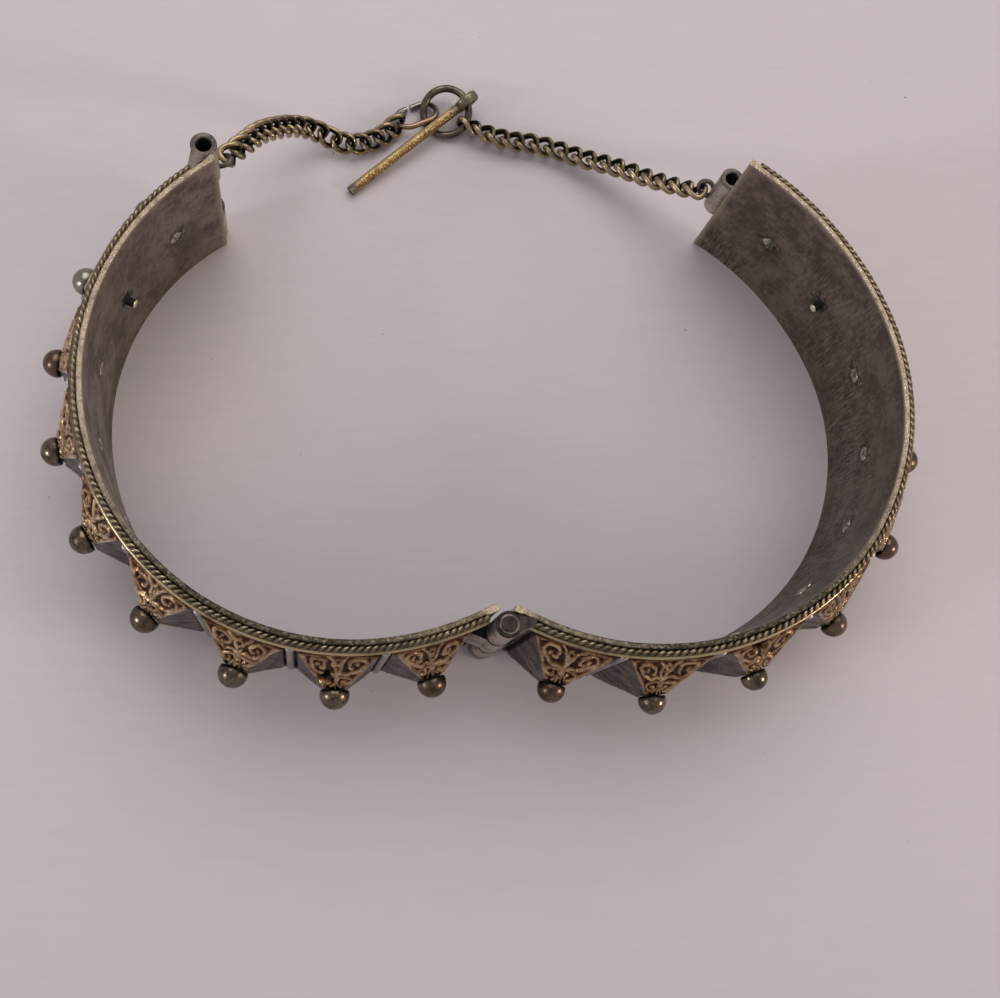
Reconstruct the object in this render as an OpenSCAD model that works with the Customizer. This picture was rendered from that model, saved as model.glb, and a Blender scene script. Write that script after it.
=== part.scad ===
// Hinged bracelet of silver, partly gilt: two curved bands joined by a pinned
// hinge, eighteen hollow pyramids held on by ball-headed rivets, and a closing
// bar that hangs from a ring in the middle of a safety chain.
// It lies open on its lower rim. +Z is up, +Y is towards the clasp ends.

/* [Bands] */
// Height of the bands, rim to rim
band_h = 22; // [18:0.5:26]
// Thickness of the band plate
plate_t = 0.8; // [0.7:0.05:0.9]
// Diameter of the rope wire laid along each rim
rope_d = 0.8; // [0.6:0.05:0.85]
// Diameter of the plain wire outside the rope wire
wire_d = 0.5; // [0.4:0.05:0.55]
// Distance from the inner face to the middle of the plain wire
wire_out = 1.7; // [1.6:0.05:1.8]

/* [Pyramids and rivets] */
// Width of the half-round bar between two pyramids
bar_w = 1; // [0.8:0.05:1.1]
// Distance from the inner face to the top of a left pyramid
boss_out = 4.15; // [3.8:0.05:4.4]
// Height of the raised scrolls on the two broad faces
relief = 0.3; // [0.1:0.05:0.35]
// Diameter of a rivet's ball head
ball_d = 3.3; // [3:0.1:3.5]
// Diameter of a rivet's shank
shank_d = 1; // [0.8:0.05:1.1]

/* [Hinge and clasp] */
// Outer diameter of the hinge and clasp tubes
tube_d = 2.9; // [2.8:0.05:3]
// Diameter of the hinge pin
hinge_pin_d = 1.6; // [1.4:0.05:1.7]
// Bore of the clasp tubes
clasp_bore_d = 1.7; // [1.6:0.05:1.8]
// Diameter of the closing bar
closing_d = 1.2; // [1:0.05:1.25]
// Length of the closing bar from the middle of its eye
closing_l = 19.9; // [18:0.1:20]

/* [Safety chain] */
// Thickness of the chain wire
chain_wire = 0.62; // [0.5:0.02:0.64]
// Thickness of the ring's wire
ring_wire = 0.96; // [0.8:0.02:1]
// Thickness of the open oval link's wire
oval_wire = 0.74; // [0.6:0.02:0.76]

/* [Hidden] */
$fn = 48;
boss_count = 9;
halves = ["left", "right"];

// Where the hinge pin stands, so that the whole part's box is centred
hinge_at = [-0.74, -32.38, 0];

// A band is drawn as the right one, and the left is mirrored. Its inner face
// starts at a place beside the pin and runs along arcs of [radius, angle].
// [side, start, heading, arcs, places of the rivets, more pyramid height,
//  bare ends beside the border at the hinge and at the clasp]
LEFT = [-1, [1.35, 2.25], -28.8, [[34, 18.6], [28, 71], [29, 84.2]],
    [7.5, 16.8, 26.4, 36, 45.4, 54.4, 63.2, 72, 81.5], 0, [1.3, 0.9]];
RIGHT = [1, [0.95, 2.15], -28.7, [[31.5, 61], [28, 80.5], [36.5, 36.5]],
    [7.5, 17.6, 28.4, 38.6, 48.6, 58.2, 68.3, 78.3, 88.4], 0.45, [0.8, 1.2]];
// The middle of the clasp tube from the end of each plate, along it and outwards
left_clasp = [-0.2, 2.25];
right_clasp = [0.5, 2];

air = 0.06;                                 // between two pieces that sit together
sink = 0.1;                                 // by which soldered metal runs into its neighbour
arc_lap = 0.1;                              // by which one arc runs into the next
hair = 0.04;                                // by which the end arcs' metal is thinner
tube_gap = 0.2;                             // between two tubes on one axis
tube_h = (band_h - 2 * tube_gap) / 3;
tube_air = 0.15;                            // round the other band's tubes
hinge_web = 2.6;                            // where a tube's web meets the plate
clasp_web = -2.8;
web_side = [0.9, 1.1];                      // where it leaves the tube, from its middle
web_up = 0.4;                               // its height over the plate there
rail_low = 0.4;                             // strip that carries the wires at a rim
rail_h = 1.5;
rope_z = 0.45;                              // middles of the rope wire and the plain wire
wire_z = 0.8;
bar_up = 0.6;                               // middle of a half-round bar over the plate
pin_head = [2.1, 0.2];                      // diameter and height of the hinge pin's head
eye_r = 0.95;                               // soldered eye at each end of the chain
eye_wire = 0.5;
eye_reach = 2.1;                            // from the clasp tube's axis to the eye's middle
boss_gap = 0.1;                             // between a pyramid and the bars and wires round it
boss_h = band_h - 2 * rail_h - 2 * boss_gap;
boss_foot = 0.5;                            // upright foot of a pyramid
boss_top = 2.4;                             // width of its flat top
sheet_t = 0.35;                             // thickness of its metal
ball_up = 0.66;                             // top of a pyramid to the ball's middle
ball_cut = 0.5;                             // the ball's middle to its flat back
neck = [0.75, 0.4];                         // radius and height of the ball's neck
tail = 0.15;                                // a rivet's end inside the band
long_tail = 1.2;                            // the same for the one left long in each band
long_at = 8;

function arcs(band) = band[3];
function arc_len(arc) = arc[0] * arc[1] * PI / 180;
function band_len(band) = arc_len(arcs(band)[0]) + arc_len(arcs(band)[1]) + arc_len(arcs(band)[2]);
// The place on the inner face at the distance s: [x, y, heading, radius]
function walk(band, s) = walk_on(arcs(band), s, 0, band[1], band[2]);
function walk_on(rows, s, i, p, h) =
    let (r = rows[i][0], full = arc_len(rows[i]), last = i == len(rows) - 1,
         run = last ? s : min(s, full), h2 = h + run / r * 180 / PI,
         c = p + r * [-sin(h), cos(h)], e = c + r * [sin(h2), -cos(h2)])
    last || s <= full ? [e[0], e[1], h2, r] : walk_on(rows, s - full, i + 1, e, h2);
function rivet_s(band, i) = band[4][i - 1];
function spacing(band, i) = i == 0 || i == boss_count ? 99 : rivet_s(band, i + 1) - rivet_s(band, i);
// A place beside the distance s, c = [along, outwards], as the finished part has it
function spot(band, s, c) =
    let (w = walk(band, s), h = w[2])
    [band[0] * (w[0] + c[0] * cos(h) + c[1] * sin(h)), w[1] + c[0] * sin(h) - c[1] * cos(h)];
// The hinge pin as seen from the start of a band: along it and outwards
function pin_from(band) =
    let (p = band[1], h = band[2])
    [-p[0] * cos(h) - p[1] * sin(h), -p[0] * sin(h) + p[1] * cos(h)];

module at_hinge() {
    translate(hinge_at) children();
}
module sided(band) {
    mirror([band[0] < 0 ? 1 : 0, 0, 0]) children();
}
// Stands its children at the distance s: X runs along the band, Y outwards
module on_band(band, s) {
    w = walk(band, s);
    sided(band) translate([w[0], w[1], 0]) rotate([0, 0, w[2]]) mirror([0, 1, 0]) children();
}
// Sweeps its children, a section of outwards and height, from s0 to s1. The
// middle arc reaches into the other two, whose metal is a hair thinner.
module along(band, s0, s1) {
    rows = arcs(band);
    starts = [0, arc_len(rows[0]), arc_len(rows[0]) + arc_len(rows[1]), band_len(band)];
    sided(band)
        for (i = [0 : len(rows) - 1]) {
            $middle = i == 1;
            r = rows[i][0];
            a = max(s0, starts[i]) - ($middle ? arc_lap : 0);
            b = min(s1, starts[i + 1]) + ($middle ? arc_lap : 0);
            w = walk(band, starts[i]);
            translate([w[0] - r * sin(w[2]), w[1] + r * cos(w[2]), 0])
                rotate([0, 0, w[2] - 90 + (a - starts[i]) / r * 180 / PI])
                    rotate_extrude(angle = (b - a) / r * 180 / PI)
                        translate([r, 0]) children();
        }
}

module plate_section() {
    less = $middle ? 0 : hair;
    translate([less / 2, less / 2]) square([plate_t - less, band_h - less]);
}
// At each rim a strip carries the rope wire and, outside it, the plain wire
module border_section() {
    less = $middle ? 0 : hair;
    for (z = [rail_low, band_h - rail_h])
        translate([plate_t / 2, z + less / 2])
            square([wire_out - plate_t / 2 - less, rail_h - rail_low - less]);
    for (z = [rope_z, band_h - rope_z])
        translate([plate_t + rope_d / 2 - sink, z]) circle(d = rope_d - less);
    for (z = [wire_z, band_h - wire_z])
        translate([wire_out, z]) circle(d = wire_d - less);
}
// Half-round bar that parts two pyramids
module separator() {
    translate([0, 0, rail_h - sink])
        linear_extrude(band_h - 2 * rail_h + 2 * sink) {
            translate([-bar_w / 2, plate_t - sink]) square([bar_w, bar_up + sink]);
            translate([0, plate_t + bar_up]) circle(d = bar_w + air);
        }
}
// The tubes with the numbers in list, with webs that reach the plate at root
module tubes(c, list, root) {
    for (k = list)
        translate([0, 0, k * (tube_h + tube_gap)])
            linear_extrude(tube_h) {
                translate(c) circle(d = tube_d);
                polygon([[c[0], plate_t / 2], [c[0] + sign(root) * web_side[0], c[1] + web_side[1]],
                         [root, plate_t + web_up], [root, plate_t / 2]]);
            }
}
// Room for the other band's tubes, round the axis c
module tube_room(c, list) {
    over = tube_gap - 0.01;
    for (k = list)
        translate([c[0], c[1], k * (tube_h + tube_gap) - over])
            cylinder(d = tube_d + 2 * tube_air, h = tube_h + 2 * over);
}
// Small eye soldered to a clasp tube for the end of the chain. turn is the way
// the chain leaves, and roll is that of its first link.
module chain_eye(axis, z, turn, roll) {
    translate([axis[0], axis[1], z]) rotate([0, 0, turn]) translate([eye_reach, 0, 0])
        rotate([roll - 90, 0, 0]) rotate_extrude() translate([eye_r, 0]) circle(d = eye_wire);
}

function others(list) = [for (k = [0 : 2]) if (len([for (m = list) if (m == k) m]) == 0) k];
module band_metal(band, clasp, hinge_list, clasp_list, eye) {
    full = band_len(band);
    pin = pin_from(band);
    difference() {
        union() {
            along(band, 0, full) plate_section();
            along(band, band[6][0], full - band[6][1]) border_section();
            for (i = [1 : boss_count - 1])
                on_band(band, (rivet_s(band, i) + rivet_s(band, i + 1)) / 2) separator();
            on_band(band, 0) tubes(pin, hinge_list, hinge_web);
            on_band(band, full) tubes(clasp, clasp_list, clasp_web);
            chain_eye(spot(band, full, clasp), eye[0], eye[1], eye[2]);
        }
        on_band(band, 0) tube_room(pin, others(hinge_list));
        on_band(band, full) tube_room(clasp, others(clasp_list));
        translate([0, 0, -1]) cylinder(d = hinge_pin_d + 0.1, h = band_h + 2);
        on_band(band, full) translate([clasp[0], clasp[1], -1]) cylinder(d = clasp_bore_d, h = band_h + 2);
        for (i = [1 : boss_count])
            on_band(band, rivet_s(band, i)) translate([0, -1, band_h / 2]) rotate([-90, 0, 0])
                cylinder(d = shank_d + 2 * air, h = plate_t + 2);
    }
}
module left_band() {
    color([0.36, 0.32, 0.29]) at_hinge() band_metal(LEFT, left_clasp, [1], [0, 2], [16.2, 36, left_roll[0][1]]);
}
module right_band() {
    color([0.36, 0.32, 0.29]) at_hinge() band_metal(RIGHT, right_clasp, [0, 2], [1], [9.5, 147, right_roll[0][1]]);
}
module hinge_pin() {
    color([0.27, 0.24, 0.22]) at_hinge() {
        translate([0, 0, sink]) cylinder(d = hinge_pin_d, h = band_h);
        translate([0, 0, band_h + air]) cylinder(d = pin_head[0], h = pin_head[1]);
    }
}

// A pyramid is rings of points from its foot to its top, then down the hole of
// the rivet and out over the hollow inside. Each broad side has cols steps.
cols = 8;
rows_up = 9;
function lerp(a, b, t) = a + (b - a) * t;
// The point j of a rectangle's outline, with cols steps on each broad side
function outline(w, h, j) =
    j <= cols ? [lerp(-w, w, j / cols) / 2, h / 2]
              : [lerp(w, -w, (j - cols - 1) / cols) / 2, -h / 2];
outline_n = 2 * (cols + 1);
round_outline = [0 : outline_n - 1];
foot_wall = 0.5;              // width of the metal that stands on the plate

// Raised scrolls: a pair of volutes beside a stem that forks into two leaves.
// x runs across the face from its middle and y up its slope, in millimetres.
function ridge(d, w) = max(0, 1 - pow(d / w, 2));
function to_line(p, a, b) =
    let (t = max(0, min(1, (p - a) * (b - a) / ((b - a) * (b - a))))) norm(p - a - t * (b - a));
function scroll(x, y) =
    let (p = [abs(x), y])
    max(ridge(abs(norm(p - [1.9, 2.3]) - 0.9), 0.6), ridge(norm(p - [1.9, 2.3]), 0.5),
        ridge(to_line(p, [0, 0.6], [0, 4.6]), 0.5), ridge(to_line(p, [0, 4.4], [1.1, 6]), 0.5));

module pyramid(band, i) {
    w = min(spacing(band, i - 1), spacing(band, i)) - bar_w - 2 * boss_gap;
    r = walk(band, rivet_s(band, i))[3] + plate_t;
    top = boss_out + band[5];
    foot = plate_t + air;
    slope = norm([boss_h / 2 - boss_top / 2, top - foot - boss_foot]);
    bend = function (x) foot - (r - sqrt(r * r - x * x));
    out = function (t, j)
        let (q = outline(lerp(w, boss_top, t), lerp(boss_h, boss_top, t), j),
             k = (j % (cols + 1)) / cols,
             fade = min(1, 6 * k * (1 - k) * 4 / 3) * min(1, 8 * t * (1 - t)),
             lift = relief * fade * scroll(q[0], t * slope))
        [q[0], lerp(foot + boss_foot, top, t) + lift, q[1]];
    step = 360 / outline_n;
    hole_r = (shank_d / 2 + air) / cos(step / 2);
    hole = function (j, y)
        let (a = 180 - (j + 0.5) * step) [hole_r * cos(a), y, hole_r * sin(a)];
    at_foot = function (less, j)
        let (q = outline(w - less, boss_h - less, j)) [q[0], bend(q[0]), q[1]];
    loops = concat(
        [[for (j = round_outline) at_foot(0, j)]],
        [for (i = [0 : rows_up]) [for (j = round_outline) out(i / rows_up, j)]],
        [[for (j = round_outline) hole(j, top)],
         [for (j = round_outline) hole(j, top - sheet_t)],
         [for (j = round_outline) at_foot(2 * foot_wall, j)]]);
    n = len(loops);
    polyhedron(points = [for (l = loops) each l],
               faces = [for (i = [0 : n - 1]) for (j = [0 : outline_n - 1])
                   let (a = i * outline_n, b = ((i + 1) % n) * outline_n, k = (j + 1) % outline_n)
                   each [[a + j, b + j, b + k], [a + j, b + k, a + k]]]);
}
module boss(band, i) {
    color([0.72, 0.56, 0.33]) at_hinge() on_band(band, rivet_s(band, i))
        translate([0, 0, band_h / 2]) pyramid(band, i);
}
// Ball head with a flat back, a short neck and a shank through the plate
module rivet(band, i) {
    end = i == long_at ? long_tail : tail;
    top = boss_out + band[5];
    color([0.42, 0.38, 0.28]) at_hinge() on_band(band, rivet_s(band, i))
        translate([0, 0, band_h / 2]) rotate([-90, 0, 0])
            rotate_extrude() {
                translate([0, -end]) square([shank_d / 2, top + ball_up + end]);
                translate([0, top + air]) square(neck);
                intersection() {
                    translate([0, top + ball_up]) circle(d = ball_d);
                    translate([0, top + ball_up - ball_cut]) square([ball_d, ball_d]);
                }
            }
}

// The ring leans on the closing bar: its high side is lift_to degrees from +X
ring_r = 3;
ring_at = [-5.03, 70.4, 1.66];
ring_lean = 22;
lift_to = 60;
module ring() {
    color([0.33, 0.28, 0.24]) at_hinge() translate(ring_at)
        rotate([0, 0, lift_to]) rotate([0, -ring_lean, 0])
            rotate_extrude() translate([ring_r, 0]) circle(d = ring_wire);
}

// The closing bar's thick eye holds the ring; its rod slopes down to the surface
eye_at = [-2.45, 71.6, 2.6];
rod_down = 5.6;
rod_turn = 221.4;
eye_roll = -13;
rod_from = 1.2;               // from the eye's middle
loop_r = 1.3;                 // middle of the eye's metal
loop_round = 0.8;             // its rounded edges
loop_w = 0.9;
loop_half = 0.27;             // middle of a rounded edge from the middle of the eye
loop_flat = 0.66;             // half its thickness
module closing_bar() {
    color([0.74, 0.58, 0.27]) at_hinge()
        translate(eye_at) rotate([0, 0, rod_turn]) rotate([0, rod_down, 0]) {
            translate([rod_from, 0, 0]) rotate([0, 90, 0])
                cylinder(d = closing_d, h = closing_l - rod_from);
            rotate([eye_roll + 90, 0, 0])
                rotate_extrude() {
                    for (z = [-loop_half, loop_half]) translate([loop_r, z]) circle(d = loop_round);
                    translate([loop_r - loop_w / 2, -loop_half]) square([loop_w, 2 * loop_half]);
                    translate([loop_r - sink, -loop_flat]) square([2 * sink, 2 * loop_flat]);
                }
        }
}

// Open oval link, with a gap in its upper side
oval_at = [-8.9, 69.85, 1.15];
oval_turn = 27;
oval_lean = 22;
oval_r = 1.7;
oval_l = 2.2;
oval_gap = [-0.6, -0.1];      // along the far wire, from its middle
module oval_link() {
    color([0.5, 0.42, 0.37]) at_hinge() translate(oval_at)
        rotate([0, 0, oval_turn]) rotate([-oval_lean, 0, 0]) {
            for (s = [0, 1])
                rotate([0, 0, 180 * s]) translate([oval_l / 2, 0, 0]) rotate([0, 0, -90])
                    rotate_extrude(angle = 180) translate([oval_r, 0]) circle(d = oval_wire);
            // [start, end, side]; the far wire has the gap
            half = oval_l / 2;
            for (w = [[-half, half, -1], [-half, oval_gap[0], 1], [oval_gap[1], half, 1]])
                translate([w[0], w[2] * oval_r, 0]) rotate([0, 90, 0])
                    cylinder(d = oval_wire, h = w[1] - w[0]);
        }
}

// Chain links are twisted ovals of half length, half width and twist
link_count = 17;              // in each strand
link_a = 1.4;
link_b = 1.05;
link_c = 0.5;
wire_sides = 6;
wire_rings = 14;
// Each strand's route, from the middle of its first link to that of its last,
// and how far the links are rolled about it, as [link, angle]
left_route = [[-31.4, 54.5, 15.7], [-30.2, 56.3, 14.6], [-28.4, 59.6, 11.8], [-26.2, 62.5, 8.3],
    [-23.9, 64.6, 5.1], [-21.4, 65.3, 2.8], [-18.7, 64.9, 1.5], [-16, 65, 1.3], [-13.5, 66.2, 1.3],
    [-11.6, 68.1, 1.3]];
right_route = [[26.3, 58, 8.7], [25, 58.7, 7.8], [22.8, 59.9, 6.5], [20.2, 61.5, 5], [17.6, 63, 3.8],
    [15, 64.2, 2.7], [12.6, 65.1, 2], [9.8, 66.2, 1.4], [6.6, 66.9, 1.3], [3.6, 67.1, 1.3],
    [0.6, 67.8, 1.35], [-2, 68.7, 1.6]];
left_roll = [[0, 60], [8, 30], [13, 24], [14, 30], [15, 38], [16, 48]];
right_roll = [[0, 35], [12, 5], [14, 18], [15, 32], [16, 48]];

function bow(a, b, c, d, t) =
    (2 * b + (c - a) * t + (2 * a - 5 * b + 4 * c - d) * t * t + (3 * b - a - 3 * c + d) * t * t * t) / 2;
function smooth(r, per = 6) =
    let (n = len(r) - 1)
    concat([for (i = [0 : n - 1]) for (k = [0 : per - 1])
        bow(r[max(i - 1, 0)], r[i], r[i + 1], r[min(i + 2, n)], k / per)], [r[n]]);
function run_of(p) = [for (i = 0, s = 0; i < len(p); s = s + norm(p[min(i + 1, len(p) - 1)] - p[i]), i = i + 1) s];
function unit(v) = v / norm(v);

module chain(route, roll) {
    p = smooth(route);
    run = run_of(p);
    total = run[len(run) - 1];
    at = function (s) [for (k = [0 : 2]) lookup(s, [for (i = [0 : len(p) - 1]) [run[i], p[i][k]]])];
    for (i = [0 : link_count - 1]) {
        s = i * total / (link_count - 1);
        t = unit(at(s + 0.8) - at(s - 0.8));
        n0 = unit([0, 0, 1] - t[2] * t);
        a = lookup(i, roll);
        n = n0 * cos(a) + cross(t, n0) * sin(a);
        b = cross(n, t);
        curve = function (u) [link_a * cos(u), link_b * sin(u), link_c * sin(2 * u)];
        points = [for (k = [0 : wire_rings - 1])
            let (u = 360 * k / wire_rings, c = curve(u), d = unit(curve(u + 2) - curve(u - 2)),
                 e0 = [cos(u), sin(u), 0], e = unit(e0 - (e0 * d) * d), f = cross(d, e))
            for (j = [0 : wire_sides - 1])
                let (v = 360 * j / wire_sides, q = c + chain_wire / 2 * (e * cos(v) + f * sin(v)))
                at(s) + t * q[0] + b * q[1] + n * q[2]];
        count = wire_rings * wire_sides;
        polyhedron(points = points,
                   faces = [for (k = [0 : wire_rings - 1]) for (j = [0 : wire_sides - 1])
                       let (j2 = (j + 1) % wire_sides, a0 = k * wire_sides, b0 = (a0 + wire_sides) % count)
                       each [[a0 + j, b0 + j, b0 + j2], [a0 + j, b0 + j2, a0 + j2]]]);
    }
}
module left_chain() {
    color([0.46, 0.38, 0.24]) at_hinge() chain(left_route, left_roll);
}
module right_chain() {
    color([0.46, 0.38, 0.24]) at_hinge() chain(right_route, right_roll);
}

left_band();
right_band();
hinge_pin();
closing_bar();
ring();
oval_link();
left_chain();
right_chain();
for (h = halves)
    for (i = [1 : boss_count]) {
        band = h == "left" ? LEFT : RIGHT;
        boss(band, i);
        rivet(band, i);
    }
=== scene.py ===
# %% [markdown]
# # A hinged bracelet of silver and gilt
# Two curved bands lie open on a table, joined by a pinned hinge. Eighteen hollow pyramids with chased
# scrolls are riveted to them, each under a ball. A safety chain joins the two clasp ends, and the bar that
# closes the clasp hangs from a ring in the chain. Everything is in metres, in the frame of the CAD model.

import math

import bmesh
import bpy
import numpy as np
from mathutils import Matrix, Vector, noise


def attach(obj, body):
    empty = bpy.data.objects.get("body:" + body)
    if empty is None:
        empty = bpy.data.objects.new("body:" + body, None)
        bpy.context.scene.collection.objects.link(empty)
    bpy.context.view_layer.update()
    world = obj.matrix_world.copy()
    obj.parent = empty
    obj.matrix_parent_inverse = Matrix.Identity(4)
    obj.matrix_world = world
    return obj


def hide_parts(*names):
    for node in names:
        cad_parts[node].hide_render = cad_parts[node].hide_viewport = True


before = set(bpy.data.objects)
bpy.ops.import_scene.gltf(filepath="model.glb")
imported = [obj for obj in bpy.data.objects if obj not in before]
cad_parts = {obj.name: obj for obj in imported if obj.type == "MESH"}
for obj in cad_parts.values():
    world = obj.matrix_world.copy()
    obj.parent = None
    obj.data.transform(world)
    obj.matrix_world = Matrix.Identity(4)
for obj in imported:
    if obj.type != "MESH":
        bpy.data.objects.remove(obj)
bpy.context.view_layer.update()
scene = bpy.context.scene
MM = 0.001

# %% [markdown]
# ## The camera
# The photograph was taken by hand from 150 mm above the table, nearly straight down, with the phone tipped
# 13 degrees back and 9 degrees to the side. The place and the tilt come from fitting both rims of the bands.

# %% Camera
def new_object(name, data):
    """An object at the origin that holds the data."""
    made = bpy.data.objects.new(name, data)
    scene.collection.objects.link(made)
    return made


camera_data = bpy.data.cameras.new("camera")
camera_data.lens = 45
camera_data.sensor_width = 36
camera_data.sensor_fit = "HORIZONTAL"
camera_data.clip_start = 0.005
camera_data.clip_end = 20
camera = new_object("camera", camera_data)
camera.location = Vector((-21.72, -49.35, 150.0)) * MM
camera.rotation_euler = (math.radians(13.18), math.radians(-8.876), 0.0)
scene.camera = camera

# %% [markdown]
# ## The table and the light
# The table is a plain pale board. A wide soft light stands behind the bracelet. Two small windows, low at
# the left and the right, put the pair of highlights on each ball.

# %% Helpers for node trees
class Nodes:
    """A node tree, with short names for what is often added. An input takes a value, or a socket to link."""

    def __init__(self, tree):
        self.tree = tree

    def feed(self, socket, value):
        if isinstance(value, bpy.types.NodeSocket):
            self.tree.links.new(value, socket)
        else:
            socket.default_value = (*value, 1) if socket.type == "RGBA" else value

    def add(self, kind, inputs=None, output=0, **settings):
        """A new node. Gives one of its outputs, chosen by number or name."""
        node = self.tree.nodes.new(kind)
        for name, value in settings.items():
            setattr(node, name, value)
        for key, value in (inputs or {}).items():
            self.feed(node.inputs[key], value)
        return node.outputs[output]

    def calc(self, operation, a, b=0.0, clamp=False):
        return self.add("ShaderNodeMath", {0: a, 1: b}, operation=operation, use_clamp=clamp)

    def times(self, a, b, clamp=False):
        return self.calc("MULTIPLY", a, b, clamp)

    def plus(self, a, b, clamp=False):
        return self.calc("ADD", a, b, clamp)

    def arrows(self, operation, a, b):
        return self.add("ShaderNodeVectorMath", {0: a, 1: b}, operation=operation)

    def spread(self, value, low, high, to_low=0.0, to_high=1.0, smooth=False):
        """The range from low to high spread over another range, and held at its ends."""
        inputs = {"Value": value, "From Min": low, "From Max": high, "To Min": to_low, "To Max": to_high}
        return self.add("ShaderNodeMapRange", inputs, interpolation_type="SMOOTHSTEP" if smooth else "LINEAR")

    def split(self, arrow):
        return self.add("ShaderNodeSeparateXYZ", {0: arrow}).node.outputs

    def cloud(self, place, scale, detail=2.0, roughness=0.5):
        inputs = {"Vector": place, "Scale": scale, "Detail": detail, "Roughness": roughness}
        return self.add("ShaderNodeTexNoise", inputs)

    def attribute(self, name):
        return self.add("ShaderNodeAttribute", output="Fac", attribute_name=name)

    def blend(self, factor, low, high):
        """A colour between two others."""
        return self.add("ShaderNodeMix", {0: factor, 6: low, 7: high}, 2, data_type="RGBA")

    def ramp(self, factor, *stops):
        """Colours along a value, from stops of (place, colour)."""
        made = self.add("ShaderNodeValToRGB", {0: factor})
        elements = made.node.color_ramp.elements
        while len(elements) < len(stops):
            elements.new(0.5)
        for element, (place, colour) in zip(elements, stops):
            element.position = place
            element.color = (*colour, 1)
        return made


class Surface(Nodes):
    """A material. shader holds the inputs of its shader, and place its Object coordinates."""

    def __init__(self, name, metallic, roughness):
        self.material = bpy.data.materials.new(name)
        self.material.use_nodes = True
        super().__init__(self.material.node_tree)
        self.shader = self.tree.nodes["Principled BSDF"].inputs
        self.feed(self.shader["Metallic"], metallic)
        self.feed(self.shader["Roughness"], roughness)
        self.place = self.add("ShaderNodeTexCoord", output="Object")

    def paint(self, colour):
        self.feed(self.shader["Base Color"], colour)

    def emboss(self, height, distance, strength=1.0):
        """Bumps the surface. Gives the input that can take another height."""
        bumps = self.add("ShaderNodeBump", {"Strength": strength, "Distance": distance, "Height": height})
        self.feed(self.shader["Normal"], bumps)
        return bumps.node.inputs["Height"]


# %% Table
TABLE_HALF, BELOW_FLOOR = 0.6, 0.00002
board = Surface("pale board", 0.0, 0.6)
tint = board.blend(board.cloud(board.place, 14.0, 4.0), (0.56, 0.50, 0.505), (0.50, 0.455, 0.47))
fine = board.cloud(board.arrows("MULTIPLY", board.place, (160.0, 1300.0, 1.0)), 1.0, 4.0, 0.65)
board.emboss(fine, 0.00008, 0.25)
streaked = board.blend(board.spread(fine, 0.3, 0.7, 0.0, 0.16), tint, (0.36, 0.325, 0.34))
# Painted shade: the board is painted darker towards the front, away from the light behind the bracelet.
front_shade = board.spread(board.split(board.place)["Y"], -0.035, -0.075, 0.0, 0.5)
shaded = board.blend(front_shade, streaked, (0.43, 0.395, 0.42))
specks = board.spread(board.cloud(board.place, 620.0), 0.77, 0.80)
board.paint(board.blend(specks, shaded, (0.12, 0.10, 0.09)))

table_mesh = bpy.data.meshes.new("table")
corners = [(x * TABLE_HALF, y * TABLE_HALF, -BELOW_FLOOR) for x, y in ((-1, -1), (1, -1), (1, 1), (-1, 1))]
table_mesh.from_pydata(corners, [], [(0, 1, 2, 3)])
table_mesh.materials.append(board.material)
table = new_object("table", table_mesh)

# %% Lights
LIGHTS = {
    # name: (place, size across, size up, watts, colour)
    "ceiling": ((0.03, 0.48, 0.80), 1.0, 0.8, 5.6, (1.0, 0.955, 0.95)),
    "left_window": ((-0.5, -0.2, 0.24), 0.11, 0.10, 0.9, (0.95, 0.94, 1.0)),
    "right_window": ((0.47, -0.2, 0.22), 0.10, 0.09, 0.9, (1.0, 0.84, 0.66)),
}
for name, (at, across, up, watts, colour) in LIGHTS.items():
    lamp = bpy.data.lights.new(name, "AREA")
    lamp.shape = "RECTANGLE"
    lamp.size, lamp.size_y = across, up
    lamp.energy = watts
    lamp.color = colour
    lamp_object = new_object(name, lamp)
    lamp_object.location = at
    lamp_object.rotation_euler = (-Vector(at)).to_track_quat("-Z", "Y").to_euler()

world = bpy.data.worlds.new("room")
world.use_nodes = True
room = Nodes(world.node_tree)
upwards = room.split(room.add("ShaderNodeTexCoord", output="Generated"))["Z"]
background = room.tree.nodes["Background"].inputs
room.feed(background["Color"], room.blend(upwards, (0.52, 0.49, 0.50), (0.43, 0.40, 0.41)))
room.feed(background["Strength"], 0.9)
scene.world = world
scene.view_settings.view_transform = "Standard"
print("lights:", ", ".join(LIGHTS))

# %% [markdown]
# ## Sizes of the real thing
# These are the CAD model's own sizes, in millimetres. Each band's inner face runs from beside the hinge pin
# along three arcs. A place on a band is given as a distance along that face, outwards from it, and a height.

# %% Sizes
BAND_H = 22.0
PLATE_T = 0.8
ROPE_OUT, ROPE_Z, ROPE_D = 0.96, 0.42, 0.74
WIRE_OUT, WIRE_Z, WIRE_D = 1.32, 1.35, 0.5
LIP = 0.6
SEAT_OUT, SEAT_Z, RAIL_H = 1.15, 0.8, 1.5
BAR_W, BAR_UP, BAR_AIR = 0.9, 0.6, 0.03
BOSS_OUT, BOSS_TOP, BOSS_FOOT, BOSS_GAP = 4.15, 2.4, 0.5, 0.1
BOSS_H = BAND_H - 2 * RAIL_H - 2 * BOSS_GAP
AIR = 0.06
BALL_R, BALL_UP, BALL_CUT = 1.65, 0.66, 0.5
NECK_R, SHANK_R = 0.75, 0.5
TUBE_R, TUBE_GAP = 1.45, 0.3
TUBE_H = (BAND_H - 2 * TUBE_GAP) / 3
BORE_R = 0.85
HINGE = np.array([-0.74, -32.38])
HINGE_FOOT = np.array([*HINGE, 0])
LONG_AT, LONG_TAIL = 8, 1.2
NINE = range(1, 10)

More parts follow.
